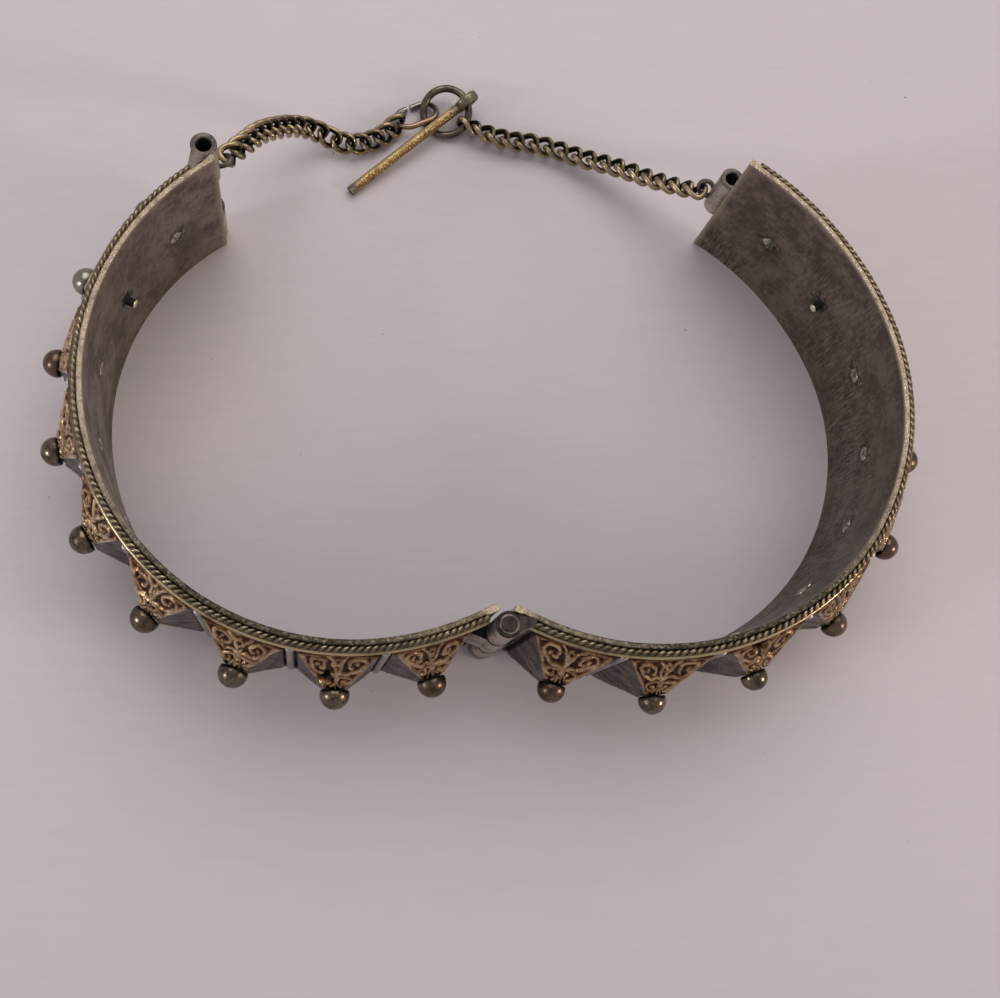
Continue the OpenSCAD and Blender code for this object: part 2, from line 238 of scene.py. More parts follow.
LEFT = {
    "name": "left", "side": -1, "start": (1.35, 2.25), "heading": -28.8,
    "arcs": ((34, 18.6), (28, 71), (29, 84.2)),
    "rivets": (7.5, 16.8, 26.4, 36, 45.4, 54.4, 63.2, 72, 81.5),
    "more": 0.0, "bare": (1.3, 0.9), "clasp": (-0.2, 2.25), "hinge_tubes": (1,), "clasp_tubes": (0, 2),
    "eye": (16.2, 36, 60), "pitch": 1.5,
}
RIGHT = {
    "name": "right", "side": 1, "start": (0.95, 2.15), "heading": -28.7,
    "arcs": ((31.5, 61), (28, 80.5), (36.5, 36.5)),
    "rivets": (7.5, 17.6, 28.4, 38.6, 48.6, 58.2, 68.3, 78.3, 88.4),
    "more": 0.45, "bare": (0.8, 1.2), "clasp": (0.5, 2.0), "hinge_tubes": (0, 2), "clasp_tubes": (1,),
    "eye": (9.5, 147, 35), "pitch": 1.7,
}
BANDS = (LEFT, RIGHT)


def nodes_of(band, kind):
    """The CAD nodes of a band's nine pyramids or rivets."""
    return [f"{band['name']}_{kind}_{i}" for i in NINE]


# %% Walking along a band
def band_length(band):
    return sum(math.radians(angle) * radius for radius, angle in band["arcs"])


def stand(band, s):
    """At the distance s: the inner face's foot, the way along, the way out, and the bend's radius."""
    x, y = band["start"]
    heading = math.radians(band["heading"])
    arcs = band["arcs"]
    for i, (radius, angle) in enumerate(arcs):
        full = math.radians(angle) * radius
        run = s if i == len(arcs) - 1 else min(s, full)
        turned = heading + run / radius
        x += radius * (math.sin(turned) - math.sin(heading))
        y += radius * (math.cos(heading) - math.cos(turned))
        heading = turned
        if s <= full:
            break
        s -= full
    side = band["side"]
    foot = np.array([side * x + HINGE[0], y + HINGE[1], 0.0])
    along = np.array([side * math.cos(heading), math.sin(heading), 0.0])
    out = np.array([side * math.sin(heading), -math.cos(heading), 0.0])
    return foot, along, out, radius


def on_band(band, s, points):
    """Points given as (along, out, height) from the distance s, in the model's frame."""
    foot, along, out, _ = stand(band, s)
    points = np.asarray(points, float)
    return foot + points[..., :1] * along + points[..., 1:2] * out + points[..., 2:3] * np.array([0, 0, 1.0])


for band in BANDS:
    print(band["name"], "band runs", round(band_length(band), 1), "mm")


# %% [markdown]
# ## Helpers for meshes
# A shell is a closed skin: its points in millimetres, its faces, the number of its material and any values
# that a material reads from its points. Several shells make a piece, as soldered metal does on the real one.

# %% Shells
def shell(points, faces, slot=0, **values):
    points = np.asarray(points, float).reshape(-1, 3)
    return {"points": points, "faces": faces, "slot": slot, "values": values}


def skin(rows, slot=0, closed=False, **values):
    """A shell over rows of points. Each row is a ring; the rows are joined in a loop or capped."""
    rows = np.asarray(rows, float)
    count, ring = rows.shape[:2]
    i, j = np.meshgrid(np.arange(count if closed else count - 1), np.arange(ring), indexing="ij")
    a = i * ring + j
    b = i * ring + (j + 1) % ring
    k = (i + 1) % count
    faces = np.stack([a, k * ring + j, k * ring + (j + 1) % ring, b], -1).reshape(-1, 4).tolist()
    if not closed:
        faces.append(list(range(ring)))
        faces.append(list(range((count - 1) * ring, count * ring))[::-1])
    return shell(rows, faces, slot, **values)


def around(count):
    """So many points on a circle of radius 1 about Z."""
    angles = np.linspace(0, 2 * math.pi, count, endpoint=False)
    return np.stack([np.cos(angles), np.sin(angles), np.zeros(count)], -1)


def turned(profile, steps, slot=0):
    """A shell turned about Z from a closed loop of (radius, height), all clear of the axis."""
    return skin([[r * way + (0, 0, z) for r, z in profile] for way in around(steps)], slot, closed=True)


def lathed(profile, steps, slot=0):
    """A solid turned about Z from (radius, height) points, with a cap at each end."""
    return skin([r * around(steps) + (0, 0, z) for r, z in profile], slot)


def wire(path, radius, sides=10, closed=False, slot=0):
    """Round wire along a path. radius is a number, or one for each point."""
    path = np.asarray(path, float)
    ahead = np.roll(path, -1, 0) - np.roll(path, 1, 0) if closed else np.gradient(path, axis=0)
    ahead /= np.linalg.norm(ahead, axis=1, keepdims=True)
    radii = np.broadcast_to(radius, len(path))
    first = np.cross(ahead[0], (0, 0, 1) if abs(ahead[0][2]) < 0.9 else (1, 0, 0))
    c, s, _ = around(sides).T[:, :, None]
    rows = []
    for at, way, r in zip(path, ahead, radii):
        first = first - way * first.dot(way)
        first /= np.linalg.norm(first)
        second = np.cross(way, first)
        rows.append(at + r * (c * first + s * second))
    return skin(rows, slot, closed)


def curve_through(route, steps=6):
    """A smooth line through a few points, in two or three dimensions."""
    points = np.array(route, float)
    last = len(points) - 1
    line = []
    for i in range(last):
        a, b = points[max(i - 1, 0)], points[i]
        c, d = points[i + 1], points[min(i + 2, last)]
        for t in np.arange(steps) / steps:
            line.append((2 * b + (c - a) * t + (2 * a - 5 * b + 4 * c - d) * t ** 2
                         + (3 * b - a - 3 * c + d) * t ** 3) / 2)
    return np.array(line + [points[last]])


def moved(one, change):
    """The same shell with its points put through a function."""
    return {**one, "points": change(one["points"])}


def plain_mesh(name, points, edges=(), faces=(), **values):
    """A mesh from points in millimetres. Each list of values, numbers or arrows, becomes an attribute."""
    mesh = bpy.data.meshes.new(name)
    mesh.from_pydata((np.asarray(points) * MM).tolist(), edges, faces)
    for label, filled in values.items():
        filled = np.asarray(filled, np.float32)
        kind, field = ("FLOAT", "value") if filled.ndim == 1 else ("FLOAT_VECTOR", "vector")
        mesh.attributes.new(label, kind, "POINT").data.foreach_set(field, filled.ravel())
    return mesh


def shells_mesh(name, shells, sharp=40.0):
    """One mesh from shells, with its normals outward and its sharp edges marked."""
    faces, slots, base = [], [], 0
    for one in shells:
        faces += [[base + corner for corner in face] for face in one["faces"]]
        slots += [one["slot"]] * len(one["faces"]) if np.isscalar(one["slot"]) else one["slot"]
        base += len(one["points"])
    values = {}
    for label in sorted({label for one in shells for label in one["values"]}):
        filled = [one["values"].get(label, np.zeros(len(one["points"]))) for one in shells]
        values[label] = np.concatenate([np.ravel(each) for each in filled])
    mesh = plain_mesh(name, np.concatenate([one["points"] for one in shells]), (), faces, **values)
    mesh.polygons.foreach_set("material_index", slots)
    work = bmesh.new()
    work.from_mesh(mesh)
    bmesh.ops.remove_doubles(work, verts=work.verts, dist=1e-8)
    bmesh.ops.recalc_face_normals(work, faces=work.faces)
    work.to_mesh(mesh)
    work.free()
    mesh.shade_smooth()
    mesh.set_sharp_from_angle(angle=math.radians(sharp))
    return mesh


def piece(name, shells, metals, sharp=40.0, replaces=()):
    """An object made of shells that rides on the frame and stands for the CAD nodes it replaces."""
    mesh = shells_mesh(name, shells, sharp)
    for metal in metals:
        mesh.materials.append(metal.material)
    ride(new_object(name, mesh), replaces)


def ride(made, replaces=()):
    """The last step for every piece: it rides on the one body, and its triangles are counted."""
    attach(made, "root")
    if replaces:
        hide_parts(*replaces)
    triangles = sum(len(face.vertices) - 2 for face in made.data.polygons)
    print(made.name, triangles, "triangles")


# %% [markdown]
# ## Metal finishes
# Old silver is never one colour. The first group mixes clean and tarnished metal in cloudy patches, and the
# second gives the fine strokes of files and scrapers. Each metal below places them with its own values.

# %% Shared groups
class Group(Nodes):
    """A node group. inputs and outputs map the names of its sockets to their kinds."""

    def __init__(self, name, kind, inputs, outputs):
        super().__init__(bpy.data.node_groups.new(name, kind))
        for way, sockets in (("INPUT", inputs), ("OUTPUT", outputs)):
            for label, what in sockets.items():
                self.tree.interface.new_socket(label, in_out=way, socket_type="NodeSocket" + what)
        self.given = self.tree.nodes.new("NodeGroupInput").outputs
        self.result = self.tree.nodes.new("NodeGroupOutput").inputs


patina = Group("Patina", "ShaderNodeTree", {
    "Clean": "Color", "Tarnished": "Color", "Amount": "Float", "Patches per metre": "Float",
}, {"Color": "Color", "Dull": "Float"})
clean, tarnished, amount, patches, *_ = patina.given
at = patina.add("ShaderNodeTexCoord", output="Object")
large = patina.cloud(at, patches, 5.0, 0.62)
small = patina.cloud(at, patina.times(patches, 7.0), 3.0)
both = patina.plus(patina.times(large, 0.7), patina.times(small, 0.3))
patch = patina.spread(patina.plus(both, patina.calc("SUBTRACT", amount, 0.5)), 0.38, 0.62, smooth=True)
patina.feed(patina.result["Color"], patina.blend(patch, clean, tarnished))
patina.feed(patina.result["Dull"], patch)

scratched = Group("File strokes", "ShaderNodeTree", {"Strokes per metre": "Vector"}, {"Height": "Float"})
at = scratched.add("ShaderNodeTexCoord", output="Object")
scratches = scratched.cloud(scratched.arrows("MULTIPLY", at, scratched.given[0]), 1.0, 4.0, 0.7)
scratched.feed(scratched.result["Height"], scratches)


# %% One kind of old metal
class Metal(Surface):
    """Metal with patches of tarnish, and file strokes so many per metre and so many millimetres deep."""

    def __init__(self, name, clean, tarnished, amount=0.5, patches=300, metallic=0.9, rough=(0.28, 0.5),
                 strokes=(900, 900, 120), depth=0.03):
        super().__init__(name, metallic, rough[0])
        mixed = {0: clean, 1: tarnished, 2: amount, 3: patches}
        self.colour = self.add("ShaderNodeGroup", mixed, node_tree=patina.tree)
        self.paint(self.colour)
        dull = self.colour.node.outputs["Dull"]
        self.feed(self.shader["Roughness"], self.spread(dull, 0.0, 1.0, *rough))
        strokes = (strokes,) * 3 if isinstance(strokes, int) else strokes
        self.height = self.add("ShaderNodeGroup", {0: strokes}, node_tree=scratched.tree)
        self.bumps = self.emboss(self.height, depth * MM)


# %% The inner wall's metal
wall = Metal("inner wall", (0.265, 0.208, 0.163), (0.122, 0.090, 0.069), 0.5, 200, 0.85, (0.40, 0.56),
             (5200, 5200, 380), 0.12)
x, y, _ = wall.split(wall.place)
rightwards = wall.spread(x, -0.02, 0.02, 0.35)
near = wall.times(wall.spread(y, 0.015, -0.02), rightwards)
areas = wall.times(wall.spread(wall.cloud(wall.place, 70.0), 0.46, 0.66, 0.12), rightwards)
rougher = wall.plus(areas, wall.times(near, 0.3), True)
pale_scrape = wall.times(wall.spread(wall.height, 0.46, 0.36), rougher)
dark_scrape = wall.times(wall.spread(wall.height, 0.50, 0.60), rougher)
lighter = wall.blend(pale_scrape, wall.colour, (0.36, 0.305, 0.255))
# The wall is painted darker towards the front and the right.
darker_front_right = wall.blend(wall.times(near, 0.45), lighter, (0.060, 0.046, 0.036))
streaked = wall.blend(dark_scrape, darker_front_right, (0.062, 0.046, 0.037))
hammered = wall.attribute("hammered")
dents = wall.cloud(wall.place, 1500.0, 3.0)
wall.feed(wall.bumps, wall.plus(wall.height, wall.times(wall.times(dents, hammered), 5.0)))
flakes = wall.ramp(dents, (0.42, (0.035, 0.026, 0.021)), (0.52, (0.12, 0.096, 0.08)),
                   (0.62, (0.40, 0.35, 0.30)))
flaked = wall.blend(wall.times(hammered, 0.85), streaked, flakes)
# Painted shadow round the long eighth pin, and dark marks round the other hammered ends, darken the wall.
marks_and_shadow = wall.blend(wall.attribute("soot"), flaked, (0.012, 0.009, 0.008))
wall.paint(wall.blend(wall.attribute("rim"), marks_and_shadow, (0.46, 0.40, 0.30)))

# %% The bands' other metals
edge = Metal("plate edge", (0.60, 0.51, 0.375), (0.30, 0.24, 0.17), 0.46, 1300, 0.9, (0.34, 0.50), 2600, 0.3)
grime = edge.times(edge.attribute("grime"), edge.spread(edge.height, 0.35, 0.55, 0.65))
edge.paint(edge.blend(grime, edge.colour, (0.050, 0.036, 0.024)))
rope = Metal("rope wire", (0.38, 0.31, 0.205), (0.14, 0.105, 0.065), 0.5, 600, 0.95, (0.28, 0.46), 900)
dirt = rope.blend(rope.attribute("grime"), (0.13, 0.10, 0.062), (0.022, 0.013, 0.008))
rope.paint(rope.blend(rope.attribute("worn"), dirt, rope.colour))
plain = Metal("plain wire", (0.54, 0.44, 0.26), (0.24, 0.185, 0.105), 0.42, 260, 0.95, (0.26, 0.42), 900)
# Painted shade: away from the hinge the upper wire is painted dark brown; near the hinge it keeps its pale
# gold.
plain.paint(plain.blend(plain.attribute("grime"), (0.10, 0.078, 0.05), plain.colour))
# Painted shade: this near-black metal lines the bores, the tube ends that face the gaps between knuckles and
# the side of the long rivet pin.
soot = Metal("inside the bores", (0.020, 0.017, 0.015), (0.008, 0.007, 0.006), 0.5, 700, 0.2, (0.6, 0.8))
pin = Metal("hinge pin", (0.050, 0.036, 0.030), (0.016, 0.012, 0.010), 0.5, 900, 0.7, (0.42, 0.6), 1200)
SILVER = (
    wall, edge,
    Metal("outer wall", (0.22, 0.19, 0.16), (0.09, 0.075, 0.06), 0.55, 300, 0.85, (0.4, 0.6)),
    plain,
    Metal("half-round bar", (0.36, 0.33, 0.31), (0.15, 0.13, 0.12), 0.4, 300, 0.9, (0.42, 0.56),
          (300, 300, 2500)),
    Metal("hinge tubes", (0.54, 0.485, 0.42), (0.20, 0.165, 0.14), 0.47, 420, 0.92, (0.36, 0.52),
          (2200, 2200, 160), 0.12),
    Metal("tube ends", (0.12, 0.098, 0.083), (0.048, 0.038, 0.031), 0.45, 700, 0.85, (0.42, 0.58),
          1500, 0.06),
    soot, pin,
)
WALL, EDGE, BACK, PLAIN, BAR, TUBE, END_FACE, PAINTED_SHADE, DARK = range(len(SILVER))
print("band metals:", ", ".join(metal.material.name for metal in SILVER))


# %% [markdown]
# ## The bands
# Each plate is a strip with softened edges, swept along its three arcs. Its points carry masks for the
# materials: how near they are to the rim, to a rivet's hammered end or to the hinge, and how dark they are
# with soot round the rivet ends and with painted shadow round the long eighth pin.

# %% Plate section
def plate_section(step_in=1.0, steps=44, soft=0.14):
    """(out, height, material) round the plate from its inner foot. step_in cuts the seat of the rope."""
    top = BAND_H
    wall = [(0.0, z, WALL) for z in np.linspace(soft, top - soft, steps)]
    turn = [(soft * (1 - math.sin(a)), soft * math.cos(a)) for a in np.radians((65, 45, 25, 0))]
    cut = (PLATE_T - LIP) * step_in
    worn = 0.03 + 0.09 * step_in
    lip = [(PLATE_T - cut - worn, 0.0), (PLATE_T - cut, worn), (PLATE_T - 0.9 * cut, 0.2 + 0.7 * step_in)]
    over = [(o, top - soft + h, EDGE) for o, h in turn] + [(o, top - drop, EDGE) for o, drop in lip]
    down = [(PLATE_T, z, BACK) for z in np.linspace(top - 1.2, 1.2, 8)]
    under = [(o, drop, EDGE) for o, drop in lip[::-1]] + [(o, soft - h, EDGE) for o, h in turn[::-1]]
    return wall + over + down + under


def speckle(x, y, seed):
    """Slow noise, from -1 to 1, at each of many points."""
    flat = [noise.noise(Vector((a, b, seed))) for a, b in zip(x.ravel(), y.ravel())]
    return np.array(flat).reshape(x.shape)


def unevenness(s, z, depth=0.05):
    """Slow dents of a plate that was hammered by hand, in millimetres."""
    return depth * speckle(s / 7, z / 9, 3.7) + depth * 0.4 * speckle(s / 2.2, z / 3, 8.1)


def near_hinge(s):
    """1 on the dark part of the border, a little way from the hinge, and 0 on its pale parts."""
    s = np.asarray(s)
    fades = np.clip((58 - s) / 22, 0, 1) * np.clip((s - 0.5) / 2, 0, 1)
    return fades * (0.75 + 0.25 * np.clip((s - 8) / 8, 0, 1))


HAMMERED_R, SOOTY_R = 1.6, 1.35


def plate(band, step=0.4):
    full = band_length(band)
    first, last = band["bare"]
    stations = np.linspace(0, full, int(full / step) + 1)
    roped = np.clip(np.minimum(stations - first, full - last - stations) / 0.4 + 0.5, 0, 1)
    out, z, kinds = np.moveaxis(np.array([plate_section(share) for share in roped]), 2, 0)
    s = stations[:, None] + 0 * z
    near = np.min([np.hypot(s - r, z - BAND_H / 2) for r in band["rivets"]], 0)
    near *= 1 + 0.45 * speckle(s * 1.3, z * 1.3, 4.4)
    far = np.hypot(s - band["rivets"][LONG_AT - 1], z - BAND_H / 2)
    from_edge = np.minimum(BAND_H - z, np.minimum(s, full - s) * 0.8)
    wide = 0.55 + 0.5 * np.exp(-((full - s - 11) / 5) ** 2) * (band is RIGHT)
    give = unevenness(s + 200 * band["side"], z) * np.minimum(1, z / 3)
    rows = [on_band(band, at, np.stack([0 * o, o, h], -1)) for at, o, h in zip(stations, out + give, z)]
    # The last mask holds dark marks round the rivet ends and a painted shadow round the long eighth pin.
    return skin(rows, kinds[:-1].astype(int).ravel().tolist() + [EDGE, EDGE],
                hammered=np.exp(-(near / HAMMERED_R) ** 4), grime=near_hinge(s),
                rim=np.maximum(0.0, 1 - from_edge / wide) * (out < 0.1),
                soot=0.9 * np.exp(-far ** 2 / 1.2) + 0.55 * np.exp(-(near / SOOTY_R) ** 4) * (far > 3))


# %% [markdown]
# ## The borders
# Outside the plate's edge lies a rope of two thin wires twisted together, and outside it a plain wire. A rope
# follows a rule, so Geometry Nodes twist it: each strand is the rim's curve, pushed aside by a turning arrow.

# %% Rim paths
def rim_path(band, out, z, step=0.3):
    first, last = band["bare"]
    full = band_length(band) - last
    stations = np.linspace(first, full, int((full - first) / step))
    return np.array([on_band(band, s, (0, out, z)) for s in stations]), near_hinge(stations)


def strip(band, z):
    """The strip under both wires, from the plate outwards."""
    first, last = band["bare"]
    full = band_length(band) - last
    high = z + RAIL_H - SEAT_Z
    section = [(PLATE_T - 0.1, z), (SEAT_OUT - 0.05, z), (SEAT_OUT, z + 0.1), (SEAT_OUT, high - 0.1),
               (SEAT_OUT - 0.1, high), (PLATE_T - 0.1, high)]
    stations = np.linspace(first, full, 170)
    return skin([[on_band(band, s, (0, o, h)) for o, h in section] for s in stations], BACK)


def plain_wire(band, z):
    path, grime = rim_path(band, WIRE_OUT, z)
    steps = np.arange(len(path)) / 9
    worn = 1 + 0.05 * speckle(steps, z + 0 * steps, 5.5)
    # The lower wire takes the darker outer-wall metal as painted shade.
    made = wire(path, WIRE_D / 2 * worn, 12, slot=PLAIN if z > BAND_H / 2 else BACK)
    made["values"]["grime"] = np.repeat(grime, 12)
    return made


# %% Rope tree
def coated(tree, shape):
    """The last steps of a tree: its copies are made real, shaded smooth and given their metal."""
    real = tree.add("GeometryNodeRealizeInstances", {0: shape})
    smooth = tree.add("GeometryNodeSetShadeSmooth", {0: real})
    coat = tree.add("GeometryNodeSetMaterial", {"Geometry": smooth, "Material": tree.given["Metal"]})
    tree.feed(tree.result[0], coat)


def kept(tree, shape, name, value):
    """The shape with a value kept on its points."""
    return tree.add("GeometryNodeStoreNamedAttribute", {"Geometry": shape, "Name": name, "Value": value},
                    data_type="FLOAT", domain="POINT")


twist = Group("Twisted rope", "GeometryNodeTree", {
    "Line": "Geometry", "Strand radius": "Float", "Lay radius": "Float", "Pitch": "Float", "Step": "Float",
    "Metal": "Material"}, {"Rope": "Geometry"})
line, strand_r, lay_r, pitch, step, *_ = twist.given
near = twist.add("GeometryNodeProximity", {0: line}, "Distance", target_element="EDGES")
worn = twist.spread(twist.calc("DIVIDE", near, twist.plus(strand_r, lay_r)), 0.88, 1.0, smooth=True)
curve = twist.add("GeometryNodeMeshToCurve", {0: line})
fine = twist.add("GeometryNodeResampleCurve", {"Curve": curve, "Length": step}, mode="LENGTH")
run = twist.add("GeometryNodeSplineParameter", output="Length")
turns = twist.times(twist.calc("DIVIDE", run, pitch), 2 * math.pi)
aside = twist.arrows("CROSS_PRODUCT", twist.add("GeometryNodeInputTangent"), (0, 0, 1))
profile = twist.add("GeometryNodeCurvePrimitiveCircle", {"Resolution": 9, "Radius": strand_r})
joined = twist.add("GeometryNodeJoinGeometry")
for phase in (0, math.pi):
    angle = twist.plus(turns, phase)
    reach = twist.times(twist.calc("COSINE", angle), lay_r)
    lift = twist.times(twist.calc("SINE", angle), lay_r)
    sideways = twist.add("ShaderNodeVectorMath", {0: aside, "Scale": reach}, operation="SCALE")
    push = twist.arrows("ADD", sideways, twist.add("ShaderNodeCombineXYZ", {"Z": lift}))
    laid = twist.add("GeometryNodeSetPosition", {"Geometry": fine, "Offset": push})
    swept = {"Curve": laid, "Profile Curve": profile, "Fill Caps": True}
    twist.feed(joined.node.inputs[0], twist.add("GeometryNodeCurveToMesh", swept))
coated(twist, kept(twist, joined, "worn", worn))


# %% From tree to plain mesh
def grown(name, mesh, group, metal, sizes, replaces):
    """The plain mesh that a Geometry Nodes group makes of a mesh, as a piece. sizes holds inputs by name."""
    sizes["Metal"] = metal.material
    source = new_object(name + "_source", mesh)
    modifier = source.modifiers.new("grow", "NODES")
    modifier.node_group = group.tree
    for item in group.tree.interface.items_tree:
        if item.item_type == "SOCKET" and item.in_out == "INPUT" and item.name in sizes:
            modifier[item.identifier] = sizes[item.name]
    ready = source.evaluated_get(bpy.context.evaluated_depsgraph_get())
    result = bpy.data.meshes.new_from_object(ready)
    result.name = name
    bpy.data.objects.remove(source)
    ride(new_object(name, result), replaces)


STRAND_R, ROPE_STEP = 0.255, 0.13
for band in BANDS:
    paths, grime = zip(*[rim_path(band, ROPE_OUT, z) for z in (ROPE_Z, BAND_H - ROPE_Z)])
    count = len(paths[0])
    edges = [(i, i + 1) for i in range(2 * count - 1) if i != count - 1]
    rims = plain_mesh("rims", np.concatenate(paths), edges, grime=np.concatenate(grime))
    grown(band["name"] + "_rope_wires", rims, twist, rope, {
        "Strand radius": STRAND_R * MM, "Lay radius": (ROPE_D / 2 - STRAND_R) * MM,
        "Pitch": band["pitch"] * MM, "Step": ROPE_STEP * MM}, ())


# %% [markdown]
# ## Bars, tubes and eyes
# A half-round bar parts every two pyramids. The hinge and clasp tubes stand on webs that reach the plate, and
# a small soldered eye on each clasp tube holds the chain's end. All of it is part of the band's one metal.

# %% Half-round bars
def half_round(band, s):
    half, z0, z1 = BAR_W / 2, RAIL_H - 0.05, BAND_H - RAIL_H + 0.05
    section = [(-half, PLATE_T - 0.1)] + [(half * math.cos(a), PLATE_T + BAR_UP + half * math.sin(a))
                                          for a in np.linspace(math.pi, 0, 11)] + [(half, PLATE_T - 0.1)]
    rows = [[(a * k, PLATE_T - 0.1 + (o - PLATE_T + 0.1) * k, z) for a, o in section]
            for z, k in ((z0, 0.86), (z0 + 0.12, 1), (z1 - 0.12, 1), (z1, 0.86))]
    return moved(skin(rows, BAR), lambda points: on_band(band, s, points))


# %% Tubes and webs
def tube_profile(z0, z1, inner, outer, soft=0.1):
    return [(inner, z0 + soft), (inner, z1 - soft), (inner + soft, z1), (outer - soft, z1),
            (outer, z1 - soft), (outer, z0 + soft), (outer - soft, z0), (inner + soft, z0)]


def tube(band, s, centre, k, root, ends=(END_FACE, END_FACE)):
    """Tube number k and the web that holds it to the plate at root. ends: the metals below and above."""
    z0 = k * (TUBE_H + TUBE_GAP)
    z1 = z0 + TUBE_H
    at = np.array([centre[0], centre[1], 0])
    profile = tube_profile(z0, z1, BORE_R, TUBE_R, 0.2 if PAINTED_SHADE in ends else 0.1)
    # The bore wall takes the near-black metal as painted shade.
    round_part = turned(profile, 40, ([PAINTED_SHADE] + [ends[1]] * 3 + [TUBE] + [ends[0]] * 3) * 40)
    angles = np.radians(np.linspace(-100, 40, 9) if root > 0 else np.linspace(280, 140, 9))
    sheet = [(centre[0] + 1.2 * math.cos(a), centre[1] + 1.2 * math.sin(a)) for a in angles]
    sheet += [(root, PLATE_T + 0.4), (root, PLATE_T / 2)]
    rows = [[(x, y, z) for x, y in sheet] for z in (z0 + 0.02, z0 + 0.1, z1 - 0.1, z1 - 0.02)]
    web = skin(rows, [TUBE] * len(sheet) * 3 + list(ends))
    return [moved(round_part, lambda p: on_band(band, s, p + at)), moved(web, lambda p: on_band(band, s, p))]


# %% Chain eyes
EYE_R, EYE_WIRE, EYE_REACH = 0.95, 0.62, 2.1


def spin(points, axis, degrees):
    """Points turned about the X, Y or Z axis."""
    c, s = math.cos(math.radians(degrees)), math.sin(math.radians(degrees))
    matrix = {"X": [[1, 0, 0], [0, c, -s], [0, s, c]], "Y": [[c, 0, s], [0, 1, 0], [-s, 0, c]],
              "Z": [[c, -s, 0], [s, c, 0], [0, 0, 1]]}[axis]
    return points @ np.array(matrix).T


def chain_eye(band):
    z, turn, roll = band["eye"]
    axis = on_band(band, band_length(band), (*band["clasp"], z))
    eye = wire(EYE_R * around(32), EYE_WIRE / 2, 10, True, BACK)
    return moved(eye, lambda p: spin(spin(p, "X", roll - 90) + [EYE_REACH, 0, 0], "Z", turn) + axis)


# %% One band
# How far from the tubes, along the band, each web reaches the plate.
HINGE_WEB, CLASP_WEB = 2.6, -2.8


def pin_from(band):
    """The hinge pin as seen from the start of a band: along it and outwards."""
    heading = math.radians(band["heading"])
    x, y = band["start"]
    return (-x * math.cos(heading) - y * math.sin(heading), -x * math.sin(heading) + y * math.cos(heading))


def band_piece(band):
    full = band_length(band)
    rivets = band["rivets"]
    shells = [plate(band)]
    shells += [strip(band, z) for z in (SEAT_Z, BAND_H - RAIL_H)]
    shells += [plain_wire(band, z) for z in (WIRE_Z, BAND_H - WIRE_Z)]
    shells += [half_round(band, (a + b) / 2) for a, b in zip(rivets, rivets[1:])]
    for k in band["hinge_tubes"]:
        # The tube ends that face the gaps between knuckles take the near-black metal as painted shade.
        shells += tube(band, 0, pin_from(band), k, HINGE_WEB, (PAINTED_SHADE if k else DARK, PAINTED_SHADE if k < 2 else DARK))
    for k in band["clasp_tubes"]:
        shells += tube(band, full, band["clasp"], k, CLASP_WEB)
    shells.append(chain_eye(band))
    name = band["name"] + "_band"
    piece(name + "_metal", shells, SILVER, replaces=(name,))


for band in BANDS:
    band_piece(band)

# %% Hinge pin
PIN_R, PIN_HEAD_R, PIN_SIDES = 0.8, 1.05, 32
rubbed_edge = Metal("rubbed pin edge", (0.26, 0.22, 0.185), (0.06, 0.048, 0.040), 0.5, 900, 0.85, (0.45, 0.6))
pin_profile = [(0.2, 0.1), (PIN_R - 0.08, 0.1), (PIN_R, 0.2), (PIN_R, 22.06), (PIN_HEAD_R, 22.07),
               (PIN_HEAD_R, 22.16), (PIN_HEAD_R - 0.15, 22.23), (0.5, 22.25), (0.12, 22.26)]
# The edge of the head is a little rubbed, and the rest of the pin is dark.
pin_slots = [int(row in (4, 5)) for row in range(8) for _ in range(PIN_SIDES)] + [0, 0]
pin_shell = lathed(pin_profile, PIN_SIDES, pin_slots)
piece("hinge_pin_turned", [moved(pin_shell, lambda p: p + HINGE_FOOT)], [pin, rubbed_edge],
      replaces=("hinge_pin",))


# %% [markdown]
# ## The pyramids
# Each pyramid is thin silver, stamped hollow, gilt and chased by hand. The scrolls on its two broad faces
# are lines drawn in the face's own coordinates: across it from -1 to 1, and up it from 0 at the foot to 1 at
# the ball. A fine grid rises near the lines and keeps its height, so that the material can gild the crests.

# %% Scroll lines
HALF_SCROLLS = [
    # (points, half width of the ridge in mm, height from 0 to 1)
    ([(0.95, 0.0), (0.92, 0.5), (0.80, 1.0)], 0.38, 0.85),
    ([(0.02, 0.50), (0.12, 0.34), (0.17, 0.18), (0.30, 0.03)], 0.24, 1.0),
    ([(0.03, 0.55), (0.26, 0.50), (0.52, 0.53), (0.74, 0.44), (0.82, 0.28), (0.70, 0.13), (0.50, 0.11),
      (0.36, 0.21), (0.38, 0.33), (0.52, 0.36)], 0.25, 1.0),
    ([(0.58, 0.24), (0.62, 0.30)], 0.27, 0.9),
    ([(0.05, 0.60), (0.36, 0.62), (0.70, 0.66), (0.74, 0.78), (0.46, 0.84), (0.30, 0.77), (0.42, 0.72)],
     0.23, 0.95),
    ([(0.10, 0.66), (0.16, 0.82), (0.40, 0.94)], 0.22, 0.85),
    ([(0.0, 0.12), (0.11, 0.20), (0.0, 0.34)], 0.2, 0.8),
]
MIDDLE_SCROLLS = [
    ([(0.0, 0.50), (0.0, 0.97)], 0.26, 1.0),
    ([(-0.9, 0.02), (0.9, 0.02)], 0.26, 0.6),
]


def scroll_lines(seed):
    """The lines of one face, each nudged a little as a hand-held punch does."""
    dice = np.random.default_rng(seed)
    lines = []
    for mirror in (1, -1):
        for points, width, height in HALF_SCROLLS:
            nudge = dice.normal(0, 0.03, (len(points), 2)) * (1, 0.6)
            drawn = curve_through(np.array(points) * (mirror, 1) + nudge, 3)
            lines.append((drawn, width * dice.uniform(0.8, 1.2), height * dice.uniform(0.8, 1.0)))
    return lines + [(np.array(points), width, height) for points, width, height in MIDDLE_SCROLLS]


